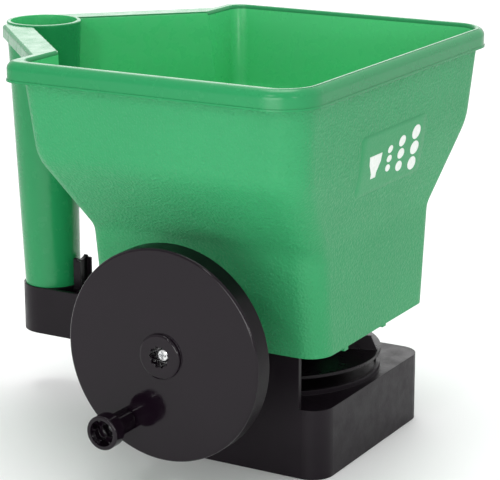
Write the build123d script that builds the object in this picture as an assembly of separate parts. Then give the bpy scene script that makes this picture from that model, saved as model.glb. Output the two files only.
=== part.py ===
from build123d import *
from math import atan2, cos, pi, sin, sqrt
import os

# Hand-cranked garden spreader: a green hopper with a hollow handle, standing on a black base that
# holds the spinner, the bevel drive and the flow slide.
#
# Millimetres, +Z up. The origin is on the resting face, under the spinner's axis. The front, where
# the grain is thrown out, faces -Y. The handle is at +Y, and the crank disc is on the -X side.

# ---------------------------------------------------------------- driving dimensions: hopper
SKIN = 2.2                    # wall of the hopper moulding
RIM_Z = 196.0                 # top of the rim
SHOULDER_Z = 149.7            # where the bowl starts to narrow
WAIST_Z = 111.3               # where the funnel meets the straight lower skirt
HOPPER_FOOT_Z = 61.0          # lower edge of the hopper
SHOULDER_BLEND = 5.5          # height over which the shoulder is rounded, each way
WAIST_BLEND = 3.0             # the same at the waist
RIM_LIP = 9.5                 # depth of the turned-down rim
RIM_ROUND = 4.0               # rounding of the rim's outer top edge
RIM_HALF_WIDTH = 104.6
RIM_FRONT = -68.1
RIM_REAR = 89.0
NECK_REACH = 149.5            # |x| + y on the inner face of the neck's slanted walls
NECK_START = 75.0             # y at which the neck's opening begins, inside the bowl
FLANGE_REACH = 169.5          # |x| + y on the outer edge of the neck's flange
FLANGE_REAR = 151.0
FLANGE_LIP = 6.4
PAN_Z = 98.0                  # underside of the hopper's floor at its lowest

# ---------------------------------------------------------------- driving dimensions: handle
HANDLE_TOP = (138.35, 19.05)  # y of the axis and outer radius at the rim
HANDLE_RAISE = 0.7            # height of the handle's mouth above the rim
HANDLE_MID = (137.9, 15.46)
HANDLE_FOOT = (137.0, 14.6)
HANDLE_MID_Z = 97.0
HANDLE_FOOT_Z = 57.7
SPIGOT_RADIUS = 12.4
SPIGOT_Z = 44.0

# ---------------------------------------------------------------- driving dimensions: base
BASE_HALF_WIDTH = 54.7
BASE_FRONT = -53.6
BASE_REAR = 66.0
BASE_WALL = 2.5
DECK_Z = 34.5                 # top of the low front wall and of the deck
UPPER_WALL_Z = 64.0
WINDOW_NEAR_Y = -41.0         # front edge of the high wall on the crank side
WINDOW_FAR_Y = -12.0          # front edge of the high wall on the other side
BOOM_HALF_WIDTH = 15.5
BOOM_BOTTOM = 32.6
BOOM_WALL = 2.0
COVER_THICK = 3.0
COLUMNS = [(-48.0, -31.0), (48.0, 30.0), (-48.0, 57.0), (48.0, 57.0)]
COVER_POSTS = [(-20.0, -46.0), (20.0, -46.0), (-20.0, 58.0), (20.0, 58.0)]

# ---------------------------------------------------------------- driving dimensions: drive
CRANK_Z = 70.0                # height of the crank's axis, which runs along X through the origin
MODULE = 1.0
GEAR_TEETH = 30
PINION_TEETH = 10
TOOTH_FACE = 4.4              # length of a bevel tooth along the pitch cone
RUNNING_GAP = 0.05            # radial clearance of a shaft in its bush
CRANK_SHAFT_R = 3.5
SPINDLE_R = 2.4
DISC_R = 50.2                 # crank disc
DISC_FACE_X = -109.3
DISC_RIM_DEPTH = 10.3
BOSS_HEIGHT = 1.9             # height of the boss round the screw's recess
SCREW_SEAT_X = -105.8
KNOB_Y, KNOB_Z = 19.0, 36.3   # axis of the knob at rest
KNOB_END_X = DISC_FACE_X - 21.0
KNOB_R = 8.1                  # flanged end of the knob
STUB_END_X = DISC_FACE_X - 9.0   # end of the stub that the knob turns on
SPINNER_R = 50.8
SPINNER_Z = 43.0              # underside of the spinner's plate
VANES = 4

# ---------------------------------------------------------------- driving dimensions: flow slide
SLIDE_Z = 55.5
SLIDE_THICK = 2.0
OUTLET = (12.0, 34.0, -12.0, 4.0)   # x and y limits of the outlet chute's bore
LEVER_Y = 118.0
LEVER_TOP_Z = 73.5


# ---------------------------------------------------------------- small shared shapes
def disc_z(radius, low, high, x=0.0, y=0.0):
    """A plain upright cylinder from one height to another."""
    return Pos(x, y, (low + high) / 2) * Cylinder(radius, high - low)


def disc_x(radius, low, high, y=0.0, z=CRANK_Z):
    """A plain cylinder along X, on the crank's axis unless told otherwise."""
    return Pos((low + high) / 2, y, z) * Rot(0, 90, 0) * Cylinder(radius, high - low)


def block(x0, x1, y0, y1, z0, z1):
    """A box given by its limits."""
    return Pos((x0 + x1) / 2, (y0 + y1) / 2, (z0 + z1) / 2) * Box(x1 - x0, y1 - y0, z1 - z0)


def outline(x0, x1, front, rear, r_front, r_rear, z=0.0):
    """A flat rectangle at height z with rounded front and rear corners."""
    plate = Pos((x0 + x1) / 2, (front + rear) / 2, z) * Rectangle(x1 - x0, rear - front)
    plate = fillet(plate.vertices().group_by(Axis.Y)[0], r_front)
    return fillet(plate.vertices().group_by(Axis.Y)[-1], r_rear)


def slab(x0, x1, front, rear, r_front, r_rear, low, high):
    """A rounded rectangle given thickness."""
    return extrude(outline(x0, x1, front, rear, r_front, r_rear, low), high - low, dir=(0, 0, 1))


def prism(points, low, high):
    """An upright prism over a polygon of (x, y) points."""
    face = make_face(Polyline(*[(x, y, low) for x, y in points], close=True))
    return extrude(face, high - low, dir=(0, 0, 1))


def pan_head(radius, height, slot):
    """A pan-headed screw's head on the XY plane, domed upwards, with a cross recess."""
    head = Pos(0, 0, height / 2) * Cylinder(radius, height)
    head = fillet(head.edges().group_by(Axis.Z)[-1], height * 0.55)
    for turn in (0, 90):
        head -= Pos(0, 0, height) * Rot(0, 0, turn) * Box(radius * 1.15, slot, height)
    return head


def screw(radius, height, slot, shank_r, shank):
    """A pan-headed screw with its head up and its shank down, seated on the XY plane."""
    return pan_head(radius, height, slot) + disc_z(shank_r, -shank, 0)


def blended(levels, blends, steps=4):
    """Rounds each inner bend of a list of levels with a short quadratic curve."""
    out = [levels[0]]
    for before, bend, after, blend in zip(levels, levels[1:], levels[2:], blends):
        ends = []
        for other in (before, after):
            share = blend / abs(other[0] - bend[0])
            ends.append([b + (o - b) * share for b, o in zip(bend, other)])
        for step in range(steps + 1):
            t = step / steps
            out.append([(1 - t) ** 2 * a + 2 * t * (1 - t) * b + t * t * c
                        for a, b, c in zip(ends[0], bend, ends[1])])
    out.append(levels[-1])
    return out


def stack(levels):
    """A solid through levels of (z, half width, front, rear, front radius, rear radius)."""
    faces = [outline(-half, half, front, rear, rf, rr, z) for z, half, front, rear, rf, rr in levels]
    return loft(faces, ruled=True)


# ---------------------------------------------------------------- hopper
def bowl_levels(inset):
    """The bowl's four levels, pulled in by the given amount."""
    rows = [(RIM_Z, 100.5, -65.5, 83.4, 16.0, 9.0),
            (SHOULDER_Z, 94.9, -61.9, 79.95, 15.0, 9.0),
            (WAIST_Z, 64.1, -54.6, 69.5, 13.0, 8.0),
            (HOPPER_FOOT_Z, 58.0, -54.3, 68.65, 12.0, 8.0)]
    return [(z, half - inset, front + inset, rear - inset, rf - inset, rr - inset)
            for z, half, front, rear, rf, rr in rows]


def pan(low, high, margin):
    """The shallow sloping floor of the hopper, as a solid block of that shape."""
    waist = bowl_levels(SKIN * margin)[2]
    top = outline(-waist[1], waist[1], waist[2], waist[3], waist[4], waist[5], high)
    bottom = outline(OUTLET[0] - 24, OUTLET[1] + 3, OUTLET[2] - 5, OUTLET[3] + 5, 4, 4, low)
    return loft([top, bottom], ruled=True)


def bowl():
    """The bowl and skirt: one skin, with the sloping floor between them."""
    skin = stack(blended(bowl_levels(0), (SHOULDER_BLEND, WAIST_BLEND)))
    upper = bowl_levels(SKIN)
    waist = list(upper[2])
    waist[0] += 1.9
    waist[1] -= 0.3
    below = [WAIST_Z - 8] + waist[1:]
    rows = blended([upper[0], upper[1], waist, below], (SHOULDER_BLEND, WAIST_BLEND))
    # The top inner edge is rounded over, as the crest of the rim.
    crest = [(RIM_Z - drop,) + bowl_levels(inset)[0][1:]
             for inset, drop in ((1.0, -0.5), (1.1, 0), (1.45, 0.25), (1.85, 0.7), (2.1, 1.3))]
    cavity = stack(crest + [(RIM_Z - 2.0,) + upper[0][1:]] + rows[1:-3] + [waist])
    cavity += pan(PAN_Z + SKIN, WAIST_Z + 1.9, 1.15)
    lower = bowl_levels(SKIN)
    foot = (HOPPER_FOOT_Z - 1,) + lower[3][1:]
    hollow = stack([(WAIST_Z + 0.6,) + lower[2][1:], foot])
    return skin - cavity - (hollow - pan(PAN_Z, WAIST_Z + 0.7, 0.5))


def rim():
    """The turned-down rim round the bowl."""
    low = RIM_Z - RIM_LIP
    outer = slab(-RIM_HALF_WIDTH, RIM_HALF_WIDTH, RIM_FRONT, RIM_REAR, 20, 9, low, RIM_Z)
    outer = fillet(outer.edges().group_by(Axis.Z)[-1], RIM_ROUND)
    bead = slab(-RIM_HALF_WIDTH - 0.4, RIM_HALF_WIDTH + 0.4, RIM_FRONT - 0.4, RIM_REAR + 0.4,
                20.4, 9.4, low, low + 1.1)
    outer += fillet(bead.edges().group_by(Axis.Z)[-1], 0.35)
    half = RIM_HALF_WIDTH - 2
    inner = slab(-half, half, RIM_FRONT + 2, RIM_REAR - 2, 18, 7, low - 1, RIM_Z - SKIN)
    return outer - fillet(inner.edges().group_by(Axis.Z)[-1], RIM_ROUND - 1.8)


def neck_side(low_bowl, low_handle):
    """A side view of the neck above its sloping floor, extruded across the hopper."""
    points = [(70.0, low_bowl), (142.0, low_handle), (142.0, RIM_Z + 2), (70.0, RIM_Z + 2)]
    face = make_face(Polyline(*[(-90, y, z) for y, z in points], close=True))
    return extrude(face, 180, dir=(1, 0, 0))


def neck_plan(start, reach, low, high):
    """The neck seen from above: wide at the bowl and narrow at the handle."""
    wide, tip = reach - start, reach - 134.0
    return prism([(-wide, start), (wide, start), (tip, 134.0), (-tip, 134.0)], low, high)


def neck_flange():
    """The broad flange along both sides of the neck, with its own lip."""
    def plan(reach, rear, half, low, high):
        tip = reach - rear
        points = [(-half, 76), (half, 76), (half, reach - half), (tip, rear), (-tip, rear),
                  (-half, reach - half)]
        return prism(points, low, high)
    plate = plan(FLANGE_REACH, FLANGE_REAR, 84.0, RIM_Z - FLANGE_LIP, RIM_Z)
    plate = fillet(plate.edges().filter_by(Axis.Z).group_by(Axis.Y)[-1], 3.0)
    plate = fillet(plate.edges().group_by(Axis.Z)[-1].filter_by(lambda e: e.center().Y > 80), 1.8)
    return plate - plan(FLANGE_REACH - 2.8, FLANGE_REAR - 2, 82.6, 180, RIM_Z - SKIN)


def handle_solid(thin):
    """The tapering handle tube as a solid, thinned all round by the given amount."""
    low = HANDLE_FOOT_Z + thin
    high = RIM_Z + HANDLE_RAISE
    rows = [(high, HANDLE_TOP), (HANDLE_MID_Z, HANDLE_MID), (low, HANDLE_FOOT)]
    return loft([Pos(0, y, z) * Circle(radius - thin) for z, (y, radius) in rows])


def hopper():
    """The green moulding: bowl, rim, neck, handle tube, skirt, outlet chute and screw bosses."""
    low = RIM_Z - 60
    neck_walls = neck_plan(NECK_START + 2.5, NECK_REACH + SKIN * sqrt(2), low, RIM_Z)
    neck_walls &= neck_side(145.5, 163.5)
    hole = neck_plan(NECK_START, NECK_REACH, low, RIM_Z + 1) & neck_side(147.9, 165.9)
    hole += neck_plan(NECK_START, NECK_REACH + 1, RIM_Z - 0.7, RIM_Z + 1)
    shell = rim() + neck_flange() + neck_walls
    shell -= stack([(RIM_Z + 1,) + bowl_levels(1.0)[0][1:], (120.0,) + bowl_levels(1.0)[1][1:]])
    shell = shell + bowl() - hole

    tube = handle_solid(0)
    shell += fillet(tube.edges().group_by(Axis.Z)[-1], 0.6)
    shell += disc_z(SPIGOT_RADIUS, SPIGOT_Z, HANDLE_FOOT_Z + 3, 0, HANDLE_FOOT[0])
    shell -= handle_solid(SKIN - 0.15)
    shell -= disc_z(HANDLE_TOP[1] - 2.05, RIM_Z - 0.5, RIM_Z + 2, 0, HANDLE_TOP[0])
    shell -= disc_z(SPIGOT_RADIUS - 2, SPIGOT_Z + 2.4, HANDLE_FOOT_Z + 4, 0, HANDLE_FOOT[0])
    shell += disc_z(5, SPIGOT_Z + 1, HANDLE_FOOT_Z, 0, HANDLE_FOOT[0])
    shell -= disc_z(1.75, SPIGOT_Z - 1, SPIGOT_Z + 12, 0, HANDLE_FOOT[0])

    under = pan(PAN_Z + SKIN * 0.5, WAIST_Z + 1.0, 0.5)
    x0, x1, y0, y1 = OUTLET
    wall = 1.8
    posts = block(x0 - wall, x1 + wall, y0 - wall, y1 + wall, 57.8, PAN_Z + 1)
    for x, y in COLUMNS:
        posts += disc_z(4.5, UPPER_WALL_Z, WAIST_Z, x, y) - under
    for x, y in GEARBOX_EARS:
        posts += disc_z(3.6, GEARBOX_TOP, WAIST_Z, x, y) - under
    for x, y in GUIDE_SCREWS:
        posts += disc_z(3.0, SLIDE_Z - 0.3, WAIST_Z, x, y) - under
    shell += posts
    shell -= block(x0, x1, y0, y1, 50, PAN_Z + 6)
    shell -= disc_z(4.0, PAN_Z - 1, PAN_Z + 5)
    for x, y in COLUMNS:
        shell -= disc_z(1.75, UPPER_WALL_Z - 1, UPPER_WALL_Z + 15, x, y)
    for x, y in GEARBOX_EARS:
        shell -= disc_z(1.5, GEARBOX_TOP - 1, GEARBOX_TOP + 7, x, y)
    for x, y in GUIDE_SCREWS:
        shell -= disc_z(1.25, SLIDE_Z - 1, SLIDE_Z + 11, x, y)

    # The notch that lets the crank's bearing boss out through the skirt.
    shell -= block(-70, -55, -9.6, 9.6, HOPPER_FOOT_Z - 1, CRANK_Z) + disc_x(9.6, -70, -55)
    # Two locating lugs under the front edge.
    for x0, x1, drop in ((-34.0, -30.3, 1.6), (6.4, 10.0, 1.1)):
        shell += block(x0, x1, -54.25, -52.6, HOPPER_FOOT_Z - drop, HOPPER_FOOT_Z + 1)
    return shell


# ---------------------------------------------------------------- base
def base_plan(inset, low, high):
    """The base's rounded plan, pulled in by the given amount."""
    half = BASE_HALF_WIDTH - inset
    return slab(-half, half, BASE_FRONT + inset, BASE_REAR - inset, 11 - inset, 8 - inset, low, high)


def boom_plan(inset, low, high):
    """The boom under the handle: straight sides and a round end on the handle's axis."""
    half = BOOM_HALF_WIDTH - inset
    y = HANDLE_FOOT[0]
    return block(-half, half, 60, y, low, high) + disc_z(half, low, high, 0, y)


def base_housing():
    """The black base: low front wall, high side walls, deck, boom and bearing bosses."""
    body = base_plan(0, 0, DECK_Z) - base_plan(BASE_WALL, -1, DECK_Z - SKIN)
    upper = base_plan(0, DECK_Z, UPPER_WALL_Z) - base_plan(BASE_WALL, DECK_Z - 1, UPPER_WALL_Z + 1)
    upper -= block(-60, 60, -60, WINDOW_NEAR_Y, DECK_Z, UPPER_WALL_Z + 1)
    upper -= block(0, 60, -60, WINDOW_FAR_Y, DECK_Z, UPPER_WALL_Z + 1)
    body += upper
    # The raised ring that the spinner's plate covers.
    body += disc_z(50.4, DECK_Z - 1, 36.9) - disc_z(48.4, DECK_Z - 2, 38)

    boom = boom_plan(0, BOOM_BOTTOM, HANDLE_FOOT_Z)
    tray = boom_plan(BOOM_WALL, BOOM_BOTTOM + SKIN, HANDLE_FOOT_Z + 1)
    tray -= disc_z(BOOM_HALF_WIDTH, 30, 60, 0, HANDLE_FOOT[0])
    tray &= block(-60, 60, BASE_REAR - 0.01, 160, 0, 80)
    boom -= tray
    boom &= block(-60, 60, BASE_REAR - BASE_WALL, 160, 0, 80)
    body += boom
    socket = disc_z(SPIGOT_RADIUS + 0.05, SPIGOT_Z, HANDLE_FOOT_Z + 1, 0, HANDLE_FOOT[0])
    well = disc_z(SPIGOT_RADIUS, BOOM_BOTTOM + SKIN, SPIGOT_Z, 0, HANDLE_FOOT[0])
    body -= socket + (well - disc_z(5.5, 30, 50, 0, HANDLE_FOOT[0]))
    body -= disc_z(3.8, BOOM_BOTTOM - 1, 36, 0, HANDLE_FOOT[0])
    body -= disc_z(2.1, 35, 46, 0, HANDLE_FOOT[0])

    # Cross ribs in the boom carry the slide, with a cheek on each side of it.
    for y in (78.0, 96.0, 114.0):
        body += block(-14, 14, y, y + 1.6, BOOM_BOTTOM + 1, SLIDE_Z - 0.2)
        for side in (-1, 1):
            x = side * 7.4
            body += block(min(x, x + side * 2), max(x, x + side * 2), y, y + 1.6, SLIDE_Z - 1, 57.2)
    body -= block(-7, 7, BASE_REAR - 4, BASE_REAR + 1, SLIDE_Z - 0.5, SLIDE_Z + SLIDE_THICK + 0.7)

    for x, y in COLUMNS:
        body += disc_z(4.5, COVER_THICK, UPPER_WALL_Z, x, y) & base_plan(0, 0, UPPER_WALL_Z)
    for x, y in COVER_POSTS:
        body += disc_z(3.6, COVER_THICK, DECK_Z - 1, x, y)
    body += disc_z(7.5, 16, 38)
    for x, y in COLUMNS:
        body -= disc_z(3.1, COVER_THICK - 1, 55, x, y) + disc_z(1.9, 54, UPPER_WALL_Z + 1, x, y)
    for x, y in COVER_POSTS:
        body -= disc_z(1.5, COVER_THICK - 1, COVER_THICK + 11, x, y)
    body -= disc_z(4.5, 20, 39)

    # Bearing boss for the crank, on a tab of the high wall.
    inner = -(BASE_HALF_WIDTH - BASE_WALL)
    body += disc_x(12, -BASE_HALF_WIDTH, inner) + block(-BASE_HALF_WIDTH, inner, -12, 12, 60, CRANK_Z)
    body += disc_x(9, -72, inner)
    return body - disc_x(5.5, -73, inner + 1)


def base_cover():
    """The flat panel that closes the base from below, and that the spreader stands on."""
    plate = base_plan(BASE_WALL + 0.1, 0, COVER_THICK)
    for x, y in COVER_POSTS:
        plate -= disc_z(3.2, -1, 1.8, x, y) + disc_z(1.6, 1, 4, x, y)
    return plate


# ---------------------------------------------------------------- gearbox shells
GEARBOX = (-27.0, 8.6, 19.5, 52.4, 94.0)   # x limits, half depth in y, z limits
GEARBOX_TOP = GEARBOX[4]
GEARBOX_EARS = [(-22.0, 24.0), (3.0, 24.0), (-22.0, -24.0), (3.0, -24.0)]


def gearbox_block():
    """The closed gearbox, before it is split into a front and a rear shell."""
    x0, x1, half, z0, z1 = GEARBOX
    wall = 2.0
    box = block(x0, x1, -half, half, z0, z1)
    box -= block(x0 + wall, x1 - wall, -half + wall, half - wall, z0 + 1.7, z1 - wall)
    box += disc_x(7, x0, -16.6) + disc_z(6, 86, z1)
    box -= disc_x(CRANK_SHAFT_R + RUNNING_GAP, x0 - 1, -15)
    box -= disc_z(SPINDLE_R + RUNNING_GAP, 80, z1 + 1) + disc_z(6.4, z0 - 1, z0 + 3)
    for x, y in GEARBOX_EARS:
        ear = block(x - 4, x + 4, min(y, 0), max(y, 0), z1 - 3, z1) + disc_z(4, z1 - 3, z1, x, y)
        box += ear & (block(x0, x1, 19, 40, 0, 100) + block(x0, x1, -40, -19, 0, 100))
    for x, y in GEARBOX_EARS:
        box -= disc_z(1.6, z1 - 4, z1 + 1, x, y)
    return box


# ---------------------------------------------------------------- bevel gears
def bevel(teeth, mate, back, bore):
    """A bevel gear with its apex at the origin and its axis along +Z, away from the apex."""
    pitch_r = MODULE * teeth / 2
    cone = sqrt(pitch_r ** 2 + (MODULE * mate / 2) ** 2)
    angle = atan2(teeth, mate)
    scale = (cone - TOOTH_FACE) / cone
    addendum, dedendum = 0.78 * MODULE, 1.1 * MODULE

    def corner(lift, grow):
        """Radius and height of a point on the pitch line, lifted off it by the given amount."""
        along, off = cone * grow, lift * grow
        return along * sin(angle) + off * cos(angle), along * cos(angle) - off * sin(angle)

    r_out, z_out = corner(-dedendum, 1)
    r_in, z_in = corner(-dedendum, scale)
    rows = [(0, z_in), (r_in, z_in), (r_out, z_out), (r_out, back), (0, back)]
    half = make_face(Polyline(*[(r, 0, z) for r, z in rows], close=True))
    body = revolve(half, Axis.Z)

    root_w, tip_w = 1.45 * MODULE, 0.75 * MODULE
    rows = [(-dedendum - 0.25, root_w), (addendum, tip_w)]
    faces = []
    for grow in (1, scale):
        points = []
        for (lift, width), order in zip(rows, ((1, -1), (-1, 1))):
            r, z = corner(lift, grow)
            points += [(r, side * width * grow / 2, z) for side in order]
        faces.append(make_face(Polyline(*points, close=True)))
    tooth = loft(faces, ruled=True)
    for step in range(teeth):
        body += Rot(0, 0, 360 * step / teeth) * tooth
    return body - disc_z(bore, -5, back + 1)


def crank_gear():
    """The driven wheel on the crank shaft: apex on the spindle's axis, back towards the crank."""
    half_pitch = 180 / GEAR_TEETH
    wheel = bevel(GEAR_TEETH, PINION_TEETH, 8.6, CRANK_SHAFT_R) + (
        disc_z(6.5, 5.4, 14.0) - disc_z(CRANK_SHAFT_R, 0, 15))
    return Pos(0, 0, CRANK_Z) * Rot(0, -90, 0) * Rot(0, 0, half_pitch) * wheel


def spinner_pinion():
    """The small wheel on the spindle, facing up into the crank gear."""
    wheel = bevel(PINION_TEETH, GEAR_TEETH, 16.6, SPINDLE_R)
    wheel += disc_z(4.4, 16, 22.0) - disc_z(SPINDLE_R, 10, 23)
    return Pos(0, 0, CRANK_Z) * Rot(180, 0, 0) * wheel


# ---------------------------------------------------------------- crank
def crank_shaft():
    """The shaft from the crank disc to the gear, with a flat for the disc and a clip groove."""
    shaft = disc_x(CRANK_SHAFT_R, -101.9, -5.2)
    shaft -= block(-103, -80, -5, 5, CRANK_Z + 2.6, CRANK_Z + 6)
    shaft -= disc_x(5, -15.4, -14.4) - disc_x(2.8, -16, -14)
    return shaft - disc_x(2.0, -102, -88)


def crank_disc():
    """The crank disc with its rim, long hub, centre boss and the stub that the knob turns on."""
    face = disc_x(DISC_R, DISC_FACE_X, DISC_FACE_X + DISC_RIM_DEPTH)
    face = fillet(face.edges().group_by(Axis.X)[0], 1.2)
    face -= disc_x(DISC_R - 2.2, DISC_FACE_X + 2.6, DISC_FACE_X + DISC_RIM_DEPTH + 1)
    boss = disc_x(10.7, DISC_FACE_X - BOSS_HEIGHT, DISC_FACE_X + 1)
    boss = fillet(boss.edges().group_by(Axis.X)[0], 1.1)
    face += boss + disc_x(9, DISC_FACE_X + 2, -75)
    for step in range(6):
        rib = block(DISC_FACE_X + 2, DISC_FACE_X + 6.5, 8, DISC_R - 1.5, CRANK_Z - 0.8, CRANK_Z + 0.8)
        face += Pos(0, 0, CRANK_Z) * Rot(60 * step + 30, 0, 0) * Pos(0, 0, -CRANK_Z) * rib
    bore = disc_x(CRANK_SHAFT_R, -102, -70) - block(-103, -80, -5, 5, CRANK_Z + 2.6, CRANK_Z + 6)
    face -= bore + disc_x(2.05, -106, -101) + disc_x(4.6, -114, SCREW_SEAT_X + 0.8)
    for step in range(10):
        turn = 2 * pi * step / 10
        face -= disc_x(0.8, -114, SCREW_SEAT_X, 4.4 * cos(turn), CRANK_Z + 4.4 * sin(turn))
    face += disc_x(4.2, DISC_FACE_X - 0.7, DISC_FACE_X + 1, KNOB_Y, KNOB_Z)
    face += disc_x(3.0, STUB_END_X, DISC_FACE_X + 1, KNOB_Y, KNOB_Z)
    return face - disc_x(1.2, STUB_END_X - 1, STUB_END_X + 10, KNOB_Y, KNOB_Z)


def crank_knob():
    """The hollow knob: a ribbed barrel with a flanged, open end and ribs inside it."""
    root = DISC_FACE_X - 1.0
    floor = KNOB_END_X + 6.2
    flange = disc_x(KNOB_R, KNOB_END_X, KNOB_END_X + 7.7, KNOB_Y, KNOB_Z)
    flange = fillet(flange.edges().group_by(Axis.X)[0], 0.7)
    flange = fillet(flange.edges().group_by(Axis.X)[-1], 1.6)
    knob = flange + disc_x(4.8, KNOB_END_X + 7, root, KNOB_Y, KNOB_Z)
    knob += disc_x(5.3, KNOB_END_X + 7, KNOB_END_X + 11.2, KNOB_Y, KNOB_Z)
    place = Pos(0, KNOB_Y, KNOB_Z)
    for step in range(8):
        rib = block(KNOB_END_X + 7, root, 3.6, 5.4, -0.75, 0.75)
        knob += place * Rot(45 * step, 0, 0) * rib
    knob -= disc_x(KNOB_R - 1.9, KNOB_END_X - 1, floor, KNOB_Y, KNOB_Z)
    knob -= disc_x(3.7, floor - 1, STUB_END_X + 0.3, KNOB_Y, KNOB_Z)
    for step in range(6):
        rib = block(KNOB_END_X + 2.1, floor + 0.2, 4.9, KNOB_R - 1.4, -0.5, 0.5)
        knob += place * Rot(60 * step, 0, 0) * rib
    return knob - disc_x(3.0 + RUNNING_GAP, STUB_END_X - 1, root + 1, KNOB_Y, KNOB_Z)


def crank_screw():
    """The zinc-plated screw that holds the disc on the shaft."""
    return Pos(SCREW_SEAT_X, 0, CRANK_Z) * Rot(0, -90, 0) * screw(3.4, 2.4, 0.9, 2.0, 15.5)


def knob_screw():
    """The screw in the end of the stub, inside the knob."""
    seat = Pos(STUB_END_X - 0.8, KNOB_Y, KNOB_Z)
    return seat * Rot(0, -90, 0) * screw(2.8, 2.1, 0.8, 1.2, 10.0)


# ---------------------------------------------------------------- spinner
def spinner():
    """The spinner's plate, hub and vanes. Each vane's outer end leans in towards its top."""
    top = SPINNER_Z + 1.6
    plate = disc_z(SPINNER_R, SPINNER_Z, top) + disc_z(9, 41.5, 48)
    for step in range(VANES):
        rows = [(7, top - 0.3), (49.8, top - 0.3), (46.6, 51.6), (7, 51.6)]
        face = make_face(Polyline(*[(r, -0.9, z) for r, z in rows], close=True))
        plate += Rot(0, 0, 360 * step / VANES - 72) * extrude(face, 1.8, dir=(0, 1, 0))
    return plate - disc_z(SPINDLE_R, 30, 60) - disc_z(4.4, 48, 60)


def agitator():
    """The stirring arm on top of the spindle, inside the hopper."""
    arm = block(-16, 16, -2, 2, 104.2, 108) + disc_z(5, 101.2, 109)
    for side in (-1, 1):
        arm += disc_z(2, 104.2, 114, 14 * side, 0)
    return arm - disc_z(SPINDLE_R, 100, 110)


def agitator_cap():
    """The push-on cap that holds the agitator down."""
    cap = disc_z(4.2, 109, 112.4)
    cap = fillet(cap.edges().group_by(Axis.Z)[-1], 1.2)
    return cap - disc_z(SPINDLE_R, 108, 111)


# ---------------------------------------------------------------- flow slide
GUIDE_SCREWS = [(40.4, -11.0), (40.4, 45.0)]


def gate_slide():
    """The long flat slide: a shutter with a port at the outlet, and a bar back to the lever."""
    low, high = SLIDE_Z, SLIDE_Z + SLIDE_THICK
    plate = block(9.4, 37, -14.5, 48, low, high) + block(-6, 37, 36, 48, low, high)
    plate += block(-6, 6, 36, LEVER_Y + 2, low, high)
    plate -= block(OUTLET[0], OUTLET[1], 5.5, 21.5, low - 1, high + 1)
    for y in (110.0, 115.0):
        plate -= disc_z(1.2, low - 1, high + 1, 0, y)
    return plate


def gate_lever():
    """The finger blade on the slide, with a foot and two side ribs."""
    low = SLIDE_Z + SLIDE_THICK
    blade = block(-5.5, 5.5, LEVER_Y, LEVER_Y + 2, low, LEVER_TOP_Z)
    for x, radius in ((-5.5, 0.8), (5.5, 1.6)):
        edge = blade.edges().filter_by(Axis.Y).group_by(Axis.Z)[-1].sort_by_distance((x, LEVER_Y, 80))[0]
        blade = fillet(edge, radius)
    blade -= Pos(0.4, LEVER_Y + 1, LEVER_TOP_Z + 4.6) * Rot(90, 0, 0) * Cylinder(6.4, 4)
    blade += block(-5, 5, LEVER_Y - 11, LEVER_Y + 2, low, low + 1.6)
    for side in (-1, 1):
        x = side * 5.0
        blade += block(x - 0.5, x + 0.5, LEVER_Y - 2.2, LEVER_Y + 1, low, LEVER_TOP_Z - 1.4)
    for y in (110.0, 115.0):
        blade -= disc_z(1.2, low - 1, low + 2, 0, y)
    return blade


def lever_rivets():
    """Two rivets that hold the lever's foot on the slide."""
    group = []
    for y in (110.0, 115.0):
        rivet = disc_z(1.2, SLIDE_Z, SLIDE_Z + SLIDE_THICK + 1.6, 0, y)
        group.append(rivet + disc_z(2.0, SLIDE_Z + SLIDE_THICK + 1.6, SLIDE_Z + SLIDE_THICK + 2.6, 0, y))
    return Compound(children=group)


def gate_guide():
    """The fixed plate under the slide, with the hole that drops the grain on the spinner."""
    plate = block(10.2, 43.2, -16, 50, SLIDE_Z - 2.3, SLIDE_Z - 0.3)
    plate -= block(OUTLET[0] + 1, OUTLET[1] - 1, OUTLET[2] + 1, OUTLET[3] - 1, 50, 60)
    for x, y in GUIDE_SCREWS:
        plate -= disc_z(2.4, SLIDE_Z - 3, SLIDE_Z - 0.9, x, y) + disc_z(1.3, 50, 60, x, y)
    return plate


# ---------------------------------------------------------------- bushes, washers and fasteners
def bush_x(flange_x0, flange_x1, end, flange_r, radius, bore):
    """A flanged bush along the crank's axis."""
    body = disc_x(flange_r, flange_x0, flange_x1) + disc_x(radius, flange_x1, end)
    return body - disc_x(bore, flange_x0 - 1, end + 1)


def spindle_foot():
    """The closed bush that the spindle stands in."""
    body = disc_z(4.5, 20, 38) + disc_z(6.5, 38, 40.4)
    return body - disc_z(SPINDLE_R + RUNNING_GAP, 21.8, 41)


def ring_z(outer, inner, low, high):
    """A flat ring round the spindle."""
    return disc_z(outer, low, high) - disc_z(inner, low - 1, high + 1)


def screws_up(places, seat, radius, height, slot, shank_r, shank):
    """A group of like screws driven upwards, their heads seated at the given height."""
    group = []
    for x, y in places:
        one = Pos(x, y, seat) * Rot(180, 0, 0) * screw(radius, height, slot, shank_r, shank)
        group.append(one)
    return Compound(children=group)


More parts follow.
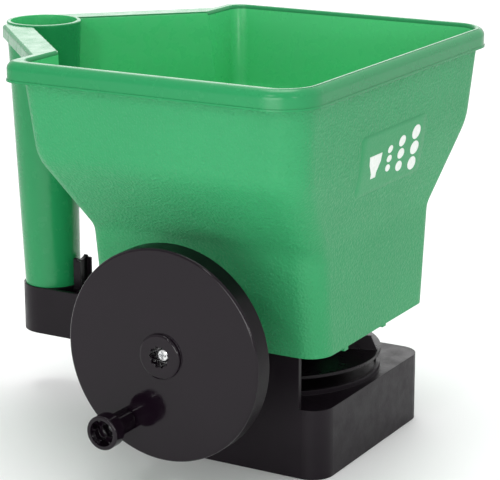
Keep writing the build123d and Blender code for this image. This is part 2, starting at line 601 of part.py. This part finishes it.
def parts():
    """Every separate piece of the spreader by its name."""
    front = block(-60, 60, -60, 0, 0, 120)
    gearbox = gearbox_block()
    return {
        "hopper": hopper(),
        "base_housing": base_housing(),
        "base_cover": base_cover(),
        "base_cover_screws": screws_up(COVER_POSTS, 1.8, 2.9, 1.6, 0.8, 1.5, 11),
        "housing_screws": screws_up(COLUMNS, 55, 2.9, 2.2, 0.9, 1.75, 22),
        "handle_screw": screws_up([(0, HANDLE_FOOT[0])], 36, 3.4, 2.4, 0.9, 1.75, 18),
        "gearbox_front_shell": gearbox & front,
        "gearbox_rear_shell": gearbox - front,
        "gearbox_screws": screws_up(GEARBOX_EARS, GEARBOX_TOP - 3, 2.8, 2.0, 0.8, 1.5, 9),
        "gate_guide": gate_guide(),
        "gate_guide_screws": screws_up(GUIDE_SCREWS, SLIDE_Z - 0.9, 2.3, 1.3, 0.7, 1.25, 9.5),
        "crank_bush": bush_x(-74, -72, -52.4, 7.5, 5.5, CRANK_SHAFT_R + RUNNING_GAP),
        "spindle_foot_bush": spindle_foot(),
        "spindle_seal": ring_z(4.0, SPINDLE_R + RUNNING_GAP, PAN_Z, PAN_Z + 2.4),
        "crank_disc": crank_disc(),
        "crank_shaft": crank_shaft(),
        "crank_gear": crank_gear(),
        "crank_gear_clip": disc_x(6, -15.4, -14.4) - disc_x(2.8, -16, -14),
        "crank_screw": crank_screw(),
        "crank_screw_washer": (disc_x(4.6, SCREW_SEAT_X, SCREW_SEAT_X + 0.8)
                               - disc_x(2.0, SCREW_SEAT_X - 1, SCREW_SEAT_X + 2)),
        "knob_screw": knob_screw(),
        "knob_washer": (disc_x(3.4, STUB_END_X - 0.8, STUB_END_X, KNOB_Y, KNOB_Z)
                        - disc_x(1.2, STUB_END_X - 1, STUB_END_X + 1, KNOB_Y, KNOB_Z)),
        "crank_knob": crank_knob(),
        "spinner": spinner(),
        "spindle": disc_z(SPINDLE_R, 22, 111),
        "spinner_pinion": spinner_pinion(),
        "spinner_washer": ring_z(6.5, SPINDLE_R, 40.7, 41.5),
        "agitator": agitator(),
        "agitator_cap": agitator_cap(),
        "gate_slide": gate_slide(),
        "gate_lever": gate_lever(),
        "lever_rivets": lever_rivets(),
    }


os.makedirs("parts", exist_ok=True)
for name, shape in parts().items():
    export_step(shape, f"parts/{name}.step")
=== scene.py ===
import bpy
import bmesh
import math
from mathutils import Matrix, Vector
from mathutils.bvhtree import BVHTree


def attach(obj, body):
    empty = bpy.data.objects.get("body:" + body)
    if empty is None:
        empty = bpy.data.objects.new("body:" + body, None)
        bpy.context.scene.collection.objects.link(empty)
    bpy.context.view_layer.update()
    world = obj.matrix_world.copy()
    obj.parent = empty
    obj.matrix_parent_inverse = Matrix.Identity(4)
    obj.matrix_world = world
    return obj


# Garden spreader: the looks. Metres, in the CAD frame: +Z up, the front faces -Y, the handle is at +Y.

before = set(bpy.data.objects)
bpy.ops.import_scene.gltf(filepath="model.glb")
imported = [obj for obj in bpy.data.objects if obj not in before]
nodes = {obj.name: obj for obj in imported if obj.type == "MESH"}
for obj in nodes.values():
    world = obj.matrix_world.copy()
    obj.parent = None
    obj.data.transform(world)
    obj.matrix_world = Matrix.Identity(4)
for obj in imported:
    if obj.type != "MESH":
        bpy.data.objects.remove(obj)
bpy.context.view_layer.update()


# ---------------------------------------------------------------- node material helpers
def set_range(made, low, high, first, last):
    """Sets a map-range node to give first..last as its value goes from low to high."""
    limits = {"From Min": low, "From Max": high, "To Min": first, "To Max": last}
    for key, value in limits.items():
        made.inputs[key].default_value = value


class Mat:
    """A node material with a Principled shader, and short calls for the nodes that feed it."""

    def __init__(self, name, color, rough, metallic=0.0, specular=0.5):
        self.mat = bpy.data.materials.new(name)
        self.mat.use_nodes = True
        self.tree = self.mat.node_tree
        self.bsdf = self.tree.nodes["Principled BSDF"]
        self.set("Base Color", (*color, 1.0))
        self.set("Roughness", rough)
        self.set("Metallic", metallic)
        self.set("Specular IOR Level", specular)
        self.coord = self.node("ShaderNodeTexCoord").outputs["Object"]
        self.normal = None

    def node(self, kind, **values):
        made = self.tree.nodes.new(kind)
        for key, value in values.items():
            setattr(made, key, value)
        return made

    def set(self, socket, value):
        self.bsdf.inputs[socket].default_value = value

    def link(self, out, into):
        self.tree.links.new(out, into)

    def noise(self, scale, detail=2.0, rough=0.5, stretch=None):
        made = self.node("ShaderNodeTexNoise")
        made.inputs["Scale"].default_value = scale
        made.inputs["Detail"].default_value = detail
        made.inputs["Roughness"].default_value = rough
        source = self.coord
        if stretch:
            mapping = self.node("ShaderNodeMapping")
            mapping.inputs["Scale"].default_value = stretch
            self.link(self.coord, mapping.inputs["Vector"])
            source = mapping.outputs["Vector"]
        self.link(source, made.inputs["Vector"])
        return made.outputs["Fac"]

    def pebbles(self, scale):
        """Rounded grains of an eroded mould, with the odd deeper pit between them."""
        cells = self.node("ShaderNodeTexVoronoi", feature="SMOOTH_F1")
        cells.inputs["Scale"].default_value = scale
        cells.inputs["Smoothness"].default_value = 0.6
        self.link(self.coord, cells.inputs["Vector"])
        mixed = self.node("ShaderNodeMath", operation="MULTIPLY_ADD")
        self.link(self.noise(scale * 1.9, 2.0), mixed.inputs[0])
        mixed.inputs[1].default_value = 0.6
        self.link(cells.outputs["Distance"], mixed.inputs[2])
        return mixed.outputs["Value"]

    def ramp(self, fac, low, high, dark, light):
        """Maps fac from low..high onto dark..light."""
        made = self.node("ShaderNodeMapRange")
        set_range(made, low, high, dark, light)
        self.link(fac, made.inputs["Value"])
        return made.outputs["Result"]

    def vary_color(self, fac, low, high, first, second):
        """Blends the base colour between two colours as fac goes from low to high."""
        mix = self.node("ShaderNodeMix", data_type="RGBA")
        mix.inputs["A"].default_value = (*first, 1.0)
        mix.inputs["B"].default_value = (*second, 1.0)
        self.link(self.ramp(fac, low, high, 0.0, 1.0), mix.inputs["Factor"])
        self.link(mix.outputs["Result"], self.bsdf.inputs["Base Color"])

    def vary_rough(self, fac, low, high, smooth, dull):
        self.link(self.ramp(fac, low, high, smooth, dull), self.bsdf.inputs["Roughness"])

    def edges(self, radius):
        """Rounds the look of sharp moulded edges."""
        made = self.node("ShaderNodeBevel", samples=6)
        made.inputs["Radius"].default_value = radius
        self.normal = made.outputs["Normal"]
        self.link(self.normal, self.bsdf.inputs["Normal"])

    def waxy(self, weight, radius):
        """Lets light a little way into the plastic, by half the radius for each colour."""
        self.set("Subsurface Weight", weight)
        self.set("Subsurface Radius", radius)
        self.set("Subsurface Scale", 0.5)

    def bump(self, fac, depth, strength=1.0):
        made = self.node("ShaderNodeBump")
        made.inputs["Distance"].default_value = depth
        made.inputs["Strength"].default_value = strength
        self.link(fac, made.inputs["Height"])
        if self.normal is not None:
            self.link(self.normal, made.inputs["Normal"])
        self.normal = made.outputs["Normal"]
        self.link(self.normal, self.bsdf.inputs["Normal"])


def tint(color, factor):
    return tuple(min(1.0, c * factor) for c in color)


# ---------------------------------------------------------------- materials
GREEN = (0.030, 0.300, 0.112)
# Painted light: the cavity's green is a brighter copy of GREEN that stands in for the light and sheen
# inside the bowl.
GREEN_IN_PAINTED_LIGHT = (0.068, 0.570, 0.205)
# Painted shade: the rim's and handle tube's green is a darker copy of GREEN that stands in for the
# shade on them.
GREEN_RIM_PAINTED_SHADE = (0.015, 0.245, 0.082)
GREEN_DEPTH = (0.002, 0.006, 0.003)   # reach of red, green and blue light in the plastic


def green_outside():
    """Spark-eroded green polypropylene: a fine pebble grain over faint mould flow."""
    m = Mat("green_textured", GREEN, 0.42, specular=0.27)
    m.vary_color(m.noise(9.0, 3.0), 0.35, 0.65, tint(GREEN, 0.95), tint(GREEN, 1.05))
    m.vary_rough(m.noise(700.0, 2.0), 0.3, 0.7, 0.36, 0.54)
    m.edges(0.0007)
    m.bump(m.pebbles(820.0), 0.00042, 1.0)
    m.bump(m.noise(60.0, 2.0), 0.0002, 0.15)
    m.waxy(0.08, GREEN_DEPTH)
    return m.mat


def green_rim_painted_shade():
    """Polished green plastic: the rim and the handle tube, coloured darker as painted shade."""
    m = Mat("green_polished_painted_shade", GREEN_RIM_PAINTED_SHADE, 0.26, specular=0.33)
    m.vary_color(m.noise(7.0, 2.0), 0.35, 0.65, tint(GREEN_RIM_PAINTED_SHADE, 0.96), tint(GREEN_RIM_PAINTED_SHADE, 1.04))
    m.vary_rough(m.noise(160.0, 3.0), 0.3, 0.7, 0.18, 0.30)
    m.edges(0.0004)
    m.bump(m.noise(420.0, 2.0), 0.00002, 0.4)
    m.bump(m.noise(30.0, 2.0), 0.0001, 0.1)
    return m.mat


def green_pad():
    """The label pad: the same plastic with only a trace of the grain."""
    m = Mat("green_pad", GREEN, 0.42, specular=0.27)
    m.vary_color(m.noise(9.0, 3.0), 0.35, 0.65, tint(GREEN, 0.94), tint(GREEN, 1.02))
    m.vary_rough(m.noise(700.0, 2.0), 0.3, 0.7, 0.38, 0.48)
    m.bump(m.pebbles(820.0), 0.00012, 1.0)
    return m.mat


def green_inside_painted_light():
    """The same plastic from the polished core of the mould, coloured brighter as painted light and
    sheen.
    """
    m = Mat("green_smooth_painted_light", GREEN_IN_PAINTED_LIGHT, 0.30, specular=0.55)
    m.vary_color(m.noise(7.0, 2.0), 0.35, 0.65, tint(GREEN_IN_PAINTED_LIGHT, 0.96), tint(GREEN_IN_PAINTED_LIGHT, 1.04))
    m.vary_rough(m.noise(160.0, 3.0), 0.3, 0.7, 0.22, 0.36)
    m.edges(0.0007)
    m.bump(m.noise(420.0, 2.0), 0.00004, 0.5)
    m.bump(m.noise(45.0, 2.0), 0.0002, 0.12)
    m.waxy(0.08, GREEN_DEPTH)
    return m.mat


def black_satin(name, level, smooth, dull, grain=900.0, specular=0.19):
    """Black moulded plastic with a light grain and faint handling marks."""
    color = (level, level * 0.6, level)
    m = Mat(name, color, smooth, specular=specular)
    m.vary_color(m.noise(25.0, 3.0), 0.35, 0.65, tint(color, 0.88), tint(color, 1.15))
    m.vary_rough(m.noise(110.0, 4.0, 0.65), 0.3, 0.7, smooth, dull)
    m.edges(0.0005)
    m.bump(m.noise(grain, 2.0, 0.6), 0.00007, 0.6)
    return m.mat


def black_gloss(name, level):
    """Black plastic from a polished mould: glossy, with hairline scuffs and a slow ripple."""
    color = (level, level * 0.5, level)
    m = Mat(name, color, 0.1, specular=0.27)
    m.vary_color(m.noise(30.0, 3.0), 0.35, 0.65, tint(color, 0.9), tint(color, 1.12))
    m.vary_rough(m.noise(75.0, 5.0, 0.7, stretch=(1.0, 1.0, 4.0)), 0.35, 0.75, 0.07, 0.15)
    m.edges(0.0006)
    m.bump(m.noise(55.0, 2.0), 0.00015, 0.12)
    m.bump(m.noise(1400.0, 2.0), 0.00002, 0.3)
    return m.mat


def acetal(name, color):
    """Natural acetal: a waxy white with tool marks."""
    m = Mat(name, color, 0.38, specular=0.5)
    m.vary_color(m.noise(60.0, 3.0), 0.35, 0.65, tint(color, 0.94), tint(color, 1.03))
    m.vary_rough(m.noise(300.0, 3.0), 0.3, 0.7, 0.32, 0.46)
    m.edges(0.00025)
    m.bump(m.noise(1200.0, 2.0), 0.00004, 0.4)
    m.waxy(0.15, (0.003, 0.0028, 0.0024))
    return m.mat


def zinc():
    """Zinc plate: bright, slightly mottled, with fine scratches from the driver."""
    m = Mat("zinc_plate", (0.68, 0.69, 0.70), 0.28, metallic=1.0)
    m.vary_color(m.noise(500.0, 3.0), 0.3, 0.7, (0.60, 0.61, 0.63), (0.76, 0.76, 0.75))
    m.vary_rough(m.noise(1500.0, 4.0, 0.7, stretch=(1.0, 6.0, 1.0)), 0.3, 0.7, 0.20, 0.38)
    m.edges(0.0002)
    m.bump(m.noise(2500.0, 2.0), 0.00002, 0.4)
    return m.mat


def drawn_steel():
    """Bright drawn bar, with hair lines along it."""
    m = Mat("drawn_steel", (0.55, 0.55, 0.56), 0.3, metallic=1.0)
    m.vary_color(m.noise(200.0, 3.0), 0.3, 0.7, (0.48, 0.48, 0.49), (0.62, 0.62, 0.62))
    m.vary_rough(m.noise(1800.0, 3.0, 0.7, stretch=(0.05, 1.0, 1.0)), 0.3, 0.7, 0.22, 0.40)
    m.edges(0.0002)
    m.bump(m.noise(2600.0, 2.0, stretch=(0.05, 1.0, 1.0)), 0.00002, 0.5)
    return m.mat


def rubber():
    """Matt black rubber with a bloom."""
    m = Mat("rubber_seal", (0.02, 0.02, 0.02), 0.75, specular=0.35)
    m.vary_color(m.noise(180.0, 3.0), 0.3, 0.7, (0.016, 0.016, 0.016), (0.03, 0.03, 0.03))
    m.vary_rough(m.noise(700.0, 3.0), 0.3, 0.7, 0.65, 0.85)
    m.bump(m.noise(2000.0, 2.0), 0.00005, 0.5)
    return m.mat


def white_ink():
    """Pad-printed white ink, a little uneven where it lies over the grain."""
    m = Mat("white_ink", (0.80, 0.84, 0.80), 0.5, specular=0.4)
    m.vary_color(m.noise(600.0, 3.0, 0.7), 0.3, 0.75, (0.70, 0.78, 0.72), (0.86, 0.88, 0.86))
    m.vary_rough(m.noise(900.0, 2.0), 0.3, 0.7, 0.42, 0.58)
    m.bump(m.noise(1150.0, 2.0, 0.6), 0.0001, 0.5)
    return m.mat


MATERIALS = {
    "green_out": green_outside(),
    "green_in": green_inside_painted_light(),
    "green_rim_painted_shade": green_rim_painted_shade(),
    "pad": green_pad(),
    "base": black_satin("black_base", 0.0065, 0.34, 0.50),
    "slide": black_satin("black_slide", 0.005, 0.30, 0.46),
    "disc": black_gloss("black_disc", 0.0055),
    # Painted shade: the disc's rim side is a darker black with its reflection turned down.
    "disc_side_painted_shade": black_satin("black_disc_side", 0.004, 0.30, 0.42, specular=0.08),
    "spinner": black_satin("black_spinner", 0.005, 0.24, 0.36, grain=1500.0),
    "gearbox": black_satin("grey_gearbox", 0.014, 0.40, 0.58),
    "gear": acetal("white_gear", (0.74, 0.73, 0.68)),
    "bush": acetal("white_bush", (0.68, 0.67, 0.63)),
    "zinc": zinc(),
    "steel": drawn_steel(),
    "rubber": rubber(),
    "ink": white_ink(),
}

FINISH = {
    "base_housing": "base", "base_cover": "base", "gate_guide": "slide",
    "gate_slide": "slide", "gate_lever": "slide",
    "crank_disc": "disc", "crank_knob": "disc",
    "spinner": "spinner", "agitator": "spinner", "agitator_cap": "spinner",
    "gearbox_front_shell": "gearbox", "gearbox_rear_shell": "gearbox",
    "crank_gear": "gear", "spinner_pinion": "gear",
    "crank_bush": "bush", "spindle_foot_bush": "bush", "spinner_washer": "bush",
    "spindle_seal": "rubber",
    "crank_shaft": "steel", "spindle": "steel", "crank_gear_clip": "steel",
}


def dress(name, *keys):
    """Gives a CAD node its materials."""
    slots = nodes[name].data.materials
    slots.clear()
    for key in keys:
        slots.append(MATERIALS[key])


for name in nodes:
    if name != "hopper":
        dress(name, FINISH.get(name, "zinc"))


BOWL_Y, HANDLE_Y = 0.012, 0.1378      # what the walls of the bowl and of the handle tube face
HANDLE_REACH = 0.0205                 # just outside the tube's wall
PAN_Z = 0.095                         # just under the hopper's sloping floor
RIM_LOW_Z = 0.1858                    # just under the lower edge of the rim
FLANGE_Z = 0.19                       # level faces above this are the tops of rim and flange
CREST_Z = 0.1935                      # the inner wall rounds over into the rim above this


def dress_hopper():
    """One moulding, three finishes: grained outside, smooth cavity coloured brighter as painted light,
    polished rim and handle coloured darker as painted shade.
    """
    dress("hopper", "green_out", "green_in", "green_rim_painted_shade")
    mesh = nodes["hopper"].data
    for face in mesh.polygons:
        x, y, z = face.center
        n = face.normal
        low = min(mesh.vertices[v].co.z for v in face.vertices)
        tube = math.hypot(x, y - HANDLE_Y) < HANDLE_REACH
        middle = HANDLE_Y if tube else BOWL_Y
        cavity = (tube or z > PAN_Z) and n.x * x + n.y * (y - middle) < 0
        flat_top = z > FLANGE_Z and n.z > 0.75
        # The rim, handle tube and flat tops take the darker green of painted shade.
        if tube or low > RIM_LOW_Z or flat_top:
            face.material_index = 2
        # The cavity walls take the brighter green of painted light.
        if cavity and (tube or low < CREST_Z) and -0.05 < n.z < 0.9:
            face.material_index = 1


dress_hopper()


CRANK_Z = 0.070                       # height of the crank's axis
DISC_SIDE_RADIUS = 0.0485             # the disc's face is inside this, its side outside


def dress_disc():
    """The disc's face is polished; the drawn side of its rim is matt, and its darker, weakly
    reflecting black is painted shade.
    """
    dress("crank_disc", "disc", "disc_side_painted_shade")
    for face in nodes["crank_disc"].data.polygons:
        radius = math.hypot(face.center.y, face.center.z - CRANK_Z)
        # Faces on the rim's side take the black of painted shade.
        side = radius > DISC_SIDE_RADIUS and abs(face.normal.x) < 0.2
        face.material_index = 1 if side else 0


dress_disc()


# ---------------------------------------------------------------- label pad and mark on the front
PAD_X, PAD_Z = -0.001, 0.1483
PAD_HALF, PAD_CORNER = (0.0345, 0.0148), 0.0035
PAD_LIFT, INK_LIFT = 0.00010, 0.00020
SUNK = -0.00005                       # outer edges start just under the skin
hopper_mesh = nodes["hopper"].data
hopper_at = nodes["hopper"].matrix_world
front = BVHTree.FromPolygons(
    [hopper_at @ v.co for v in hopper_mesh.vertices],
    [f.vertices for f in hopper_mesh.polygons],
)


def on_front(x, z, lift):
    """The point on the hopper's front face at x, z, raised by lift along the face's normal."""
    hit, normal, _, _ = front.ray_cast(Vector((x, -0.3, z)), Vector((0, 1, 0)))
    return hit + normal * lift


def conformed(name, shapes, lift, shoulder, material):
    """Flat shapes laid over the front: each is filled by rings that shrink to its middle."""
    mesh = bpy.data.meshes.new(name)
    bm = bmesh.new()
    for (cx, cz), loop in shapes:
        reach = max(math.hypot(x - cx, z - cz) for x, z in loop)
        scales = [1.0, 1.0 - shoulder / reach] + [0.85 - 0.17 * i for i in range(5)]
        rings = []
        for level, scale in enumerate(scales):
            height = SUNK if level == 0 else lift
            points = [(cx + (x - cx) * scale, cz + (z - cz) * scale) for x, z in loop]
            rings.append([bm.verts.new(on_front(x, z, height)) for x, z in points])
        for outer, inner in zip(rings, rings[1:]):
            for i in range(len(loop)):
                j = (i + 1) % len(loop)
                bm.faces.new((outer[i], outer[j], inner[j], inner[i]))
        bm.faces.new(rings[-1])
    bmesh.ops.recalc_face_normals(bm, faces=bm.faces)
    for face in bm.faces:
        face.smooth = True
    bm.to_mesh(mesh)
    bm.free()
    mesh.materials.append(material)
    piece = bpy.data.objects.new(name, mesh)
    bpy.context.scene.collection.objects.link(piece)
    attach(piece, "housing")
    return piece


def rounded_box(cx, cz, half, corner, steps=8):
    """Corner arcs of a rounded rectangle, with points added along its long sides."""
    loop = []
    for quarter, (sx, sz) in enumerate(((1, 1), (-1, 1), (-1, -1), (1, -1))):
        mx, mz = cx + sx * (half[0] - corner), cz + sz * (half[1] - corner)
        for i in range(steps + 1):
            a = math.radians(90.0 * (quarter + i / steps))
            loop.append((mx + corner * math.cos(a), mz + corner * math.sin(a)))
    dense = []
    for (x0, z0), (x1, z1) in zip(loop, loop[1:] + loop[:1]):
        parts = max(1, round(math.hypot(x1 - x0, z1 - z0) / 0.003))
        dense += [(x0 + (x1 - x0) * i / parts, z0 + (z1 - z0) * i / parts) for i in range(parts)]
    return (cx, cz), dense


def grain(cx, cz, length, width, angle):
    """One seed: an ellipse that points along its flight."""
    c, s = math.cos(math.radians(angle)), math.sin(math.radians(angle))
    loop = []
    for i in range(24):
        a = math.radians(15 * i)
        u, v = length * math.cos(a), width * math.sin(a)
        loop.append((cx + u * c - v * s, cz + u * s + v * c))
    return (cx, cz), loop


def seed_fan():
    """A generic mark: seeds that fly out from a hopper shape."""
    cx, cz = -0.0195, 0.1465
    right = [(6.4, 5.6), (5.8, 1.6), (2.6, -3.4), (2.6, -5.8)]
    left = [(-x, z) for x, z in reversed(right)]
    bowl = left[-1:] + right + left[:-1]
    shapes = [((cx, cz), [(cx + x / 1000, cz + z / 1000) for x, z in bowl])]
    columns = (
        (0.0150, 0.0046, 0.0026, 0.0018),
        (0.0275, 0.0062, 0.0036, 0.0026),
        (0.0425, 0.0078, 0.0046, 0.0034),
    )
    for reach, rise, length, width in columns:
        for side in (-1, 0, 1):
            shapes.append(grain(cx + reach, cz + 0.0008 + side * rise, length, width, 14 * side))
    return shapes


pad_outline = rounded_box(PAD_X, PAD_Z, PAD_HALF, PAD_CORNER)
pad = conformed("label_pad", [pad_outline], PAD_LIFT, 0.0003, MATERIALS["pad"])
conformed("seed_mark", seed_fan(), INK_LIFT, 0.0001, MATERIALS["ink"])

# ---------------------------------------------------------------- stage, light and camera
CAMERA_AT = Vector((-0.82551, -0.45867, 0.3573))
CAMERA_AXES = (                       # to its right, up, and back from where it looks
    (0.49847, -0.86691, -0.00187),
    (0.23024, 0.1303, 0.96437),
    (-0.83578, -0.48114, 0.26455),
)
CAMERA_LENS = 143.107                 # for a sensor 36 mm wide
FLOOR_Z = -0.0002                     # a hair below the base, so that their faces don't coincide
SWEEP_TOWARDS = (0.80, -0.35, 0.25)
ROOM_LEVEL, SWEEP_LEVEL = 0.55, 1.0


def make_camera():
    data = bpy.data.cameras.new("camera")
    data.lens = CAMERA_LENS
    data.sensor_width = 36.0
    data.clip_start = 0.02
    data.clip_end = 30.0
    cam = bpy.data.objects.new("camera", data)
    turn = Matrix(CAMERA_AXES).transposed().to_4x4()
    cam.matrix_world = Matrix.Translation(CAMERA_AT) @ turn
    bpy.context.scene.collection.objects.link(cam)
    bpy.context.scene.camera = cam


def area_light(name, at, towards, size, power):
    data = bpy.data.lights.new(name, "AREA")
    data.shape = "RECTANGLE"
    data.size, data.size_y = size
    data.energy = power
    obj = bpy.data.objects.new(name, data)
    obj.location = at
    obj.rotation_mode = "QUATERNION"
    obj.rotation_quaternion = (Vector(towards) - Vector(at)).to_track_quat("-Z", "Y")
    bpy.context.scene.collection.objects.link(obj)


def make_stage():
    mesh = bpy.data.meshes.new("floor")
    bm = bmesh.new()
    bmesh.ops.create_circle(bm, cap_ends=True, segments=96, radius=9.0)
    bm.to_mesh(mesh)
    bm.free()
    floor = bpy.data.objects.new("floor", mesh)
    floor.location.z = FLOOR_Z
    m = Mat("floor_paper", (0.88, 0.88, 0.88), 0.7, specular=0.2)
    m.vary_color(m.noise(3.0, 2.0), 0.3, 0.7, (0.87, 0.87, 0.87), (0.89, 0.89, 0.89))
    mesh.materials.append(m.mat)
    bpy.context.scene.collection.objects.link(floor)

    world = bpy.data.worlds.new("studio")
    world.use_nodes = True
    tree = world.node_tree
    background = tree.nodes["Background"]
    # A white sweep in front of the camera and to its right, and a dim room behind it.
    coord = tree.nodes.new("ShaderNodeTexCoord")
    facing = tree.nodes.new("ShaderNodeVectorMath")
    facing.operation = "DOT_PRODUCT"
    facing.inputs[1].default_value = SWEEP_TOWARDS
    spread = tree.nodes.new("ShaderNodeMapRange")
    set_range(spread, -0.75, 0.55, ROOM_LEVEL, SWEEP_LEVEL)
    tree.links.new(coord.outputs["Generated"], facing.inputs[0])
    tree.links.new(facing.outputs["Value"], spread.inputs["Value"])
    tree.links.new(spread.outputs["Result"], background.inputs["Strength"])
    background.inputs["Color"].default_value = (1.0, 1.0, 1.0, 1.0)
    bpy.context.scene.world = world
    bpy.context.scene.view_settings.view_transform = "Standard"


make_camera()
make_stage()
area_light("key", (-1.30, 0.00, 0.95), (0, 0, 0.1), (0.14, 0.14), 2.5)
area_light("front", (-0.75, -1.20, 0.42), (0, 0, 0.08), (0.16, 0.16), 1.3)
area_light("low", (-1.25, -0.20, 0.16), (0, 0, 0.05), (0.9, 0.25), 6.0)
area_light("top", (0.15, 0.10, 1.50), (0, 0, 0.1), (0.8, 0.8), 9.5)
area_light("back", (1.30, 0.72, 0.95), (0, 0, 0.15), (1.1, 1.2), 6.2)
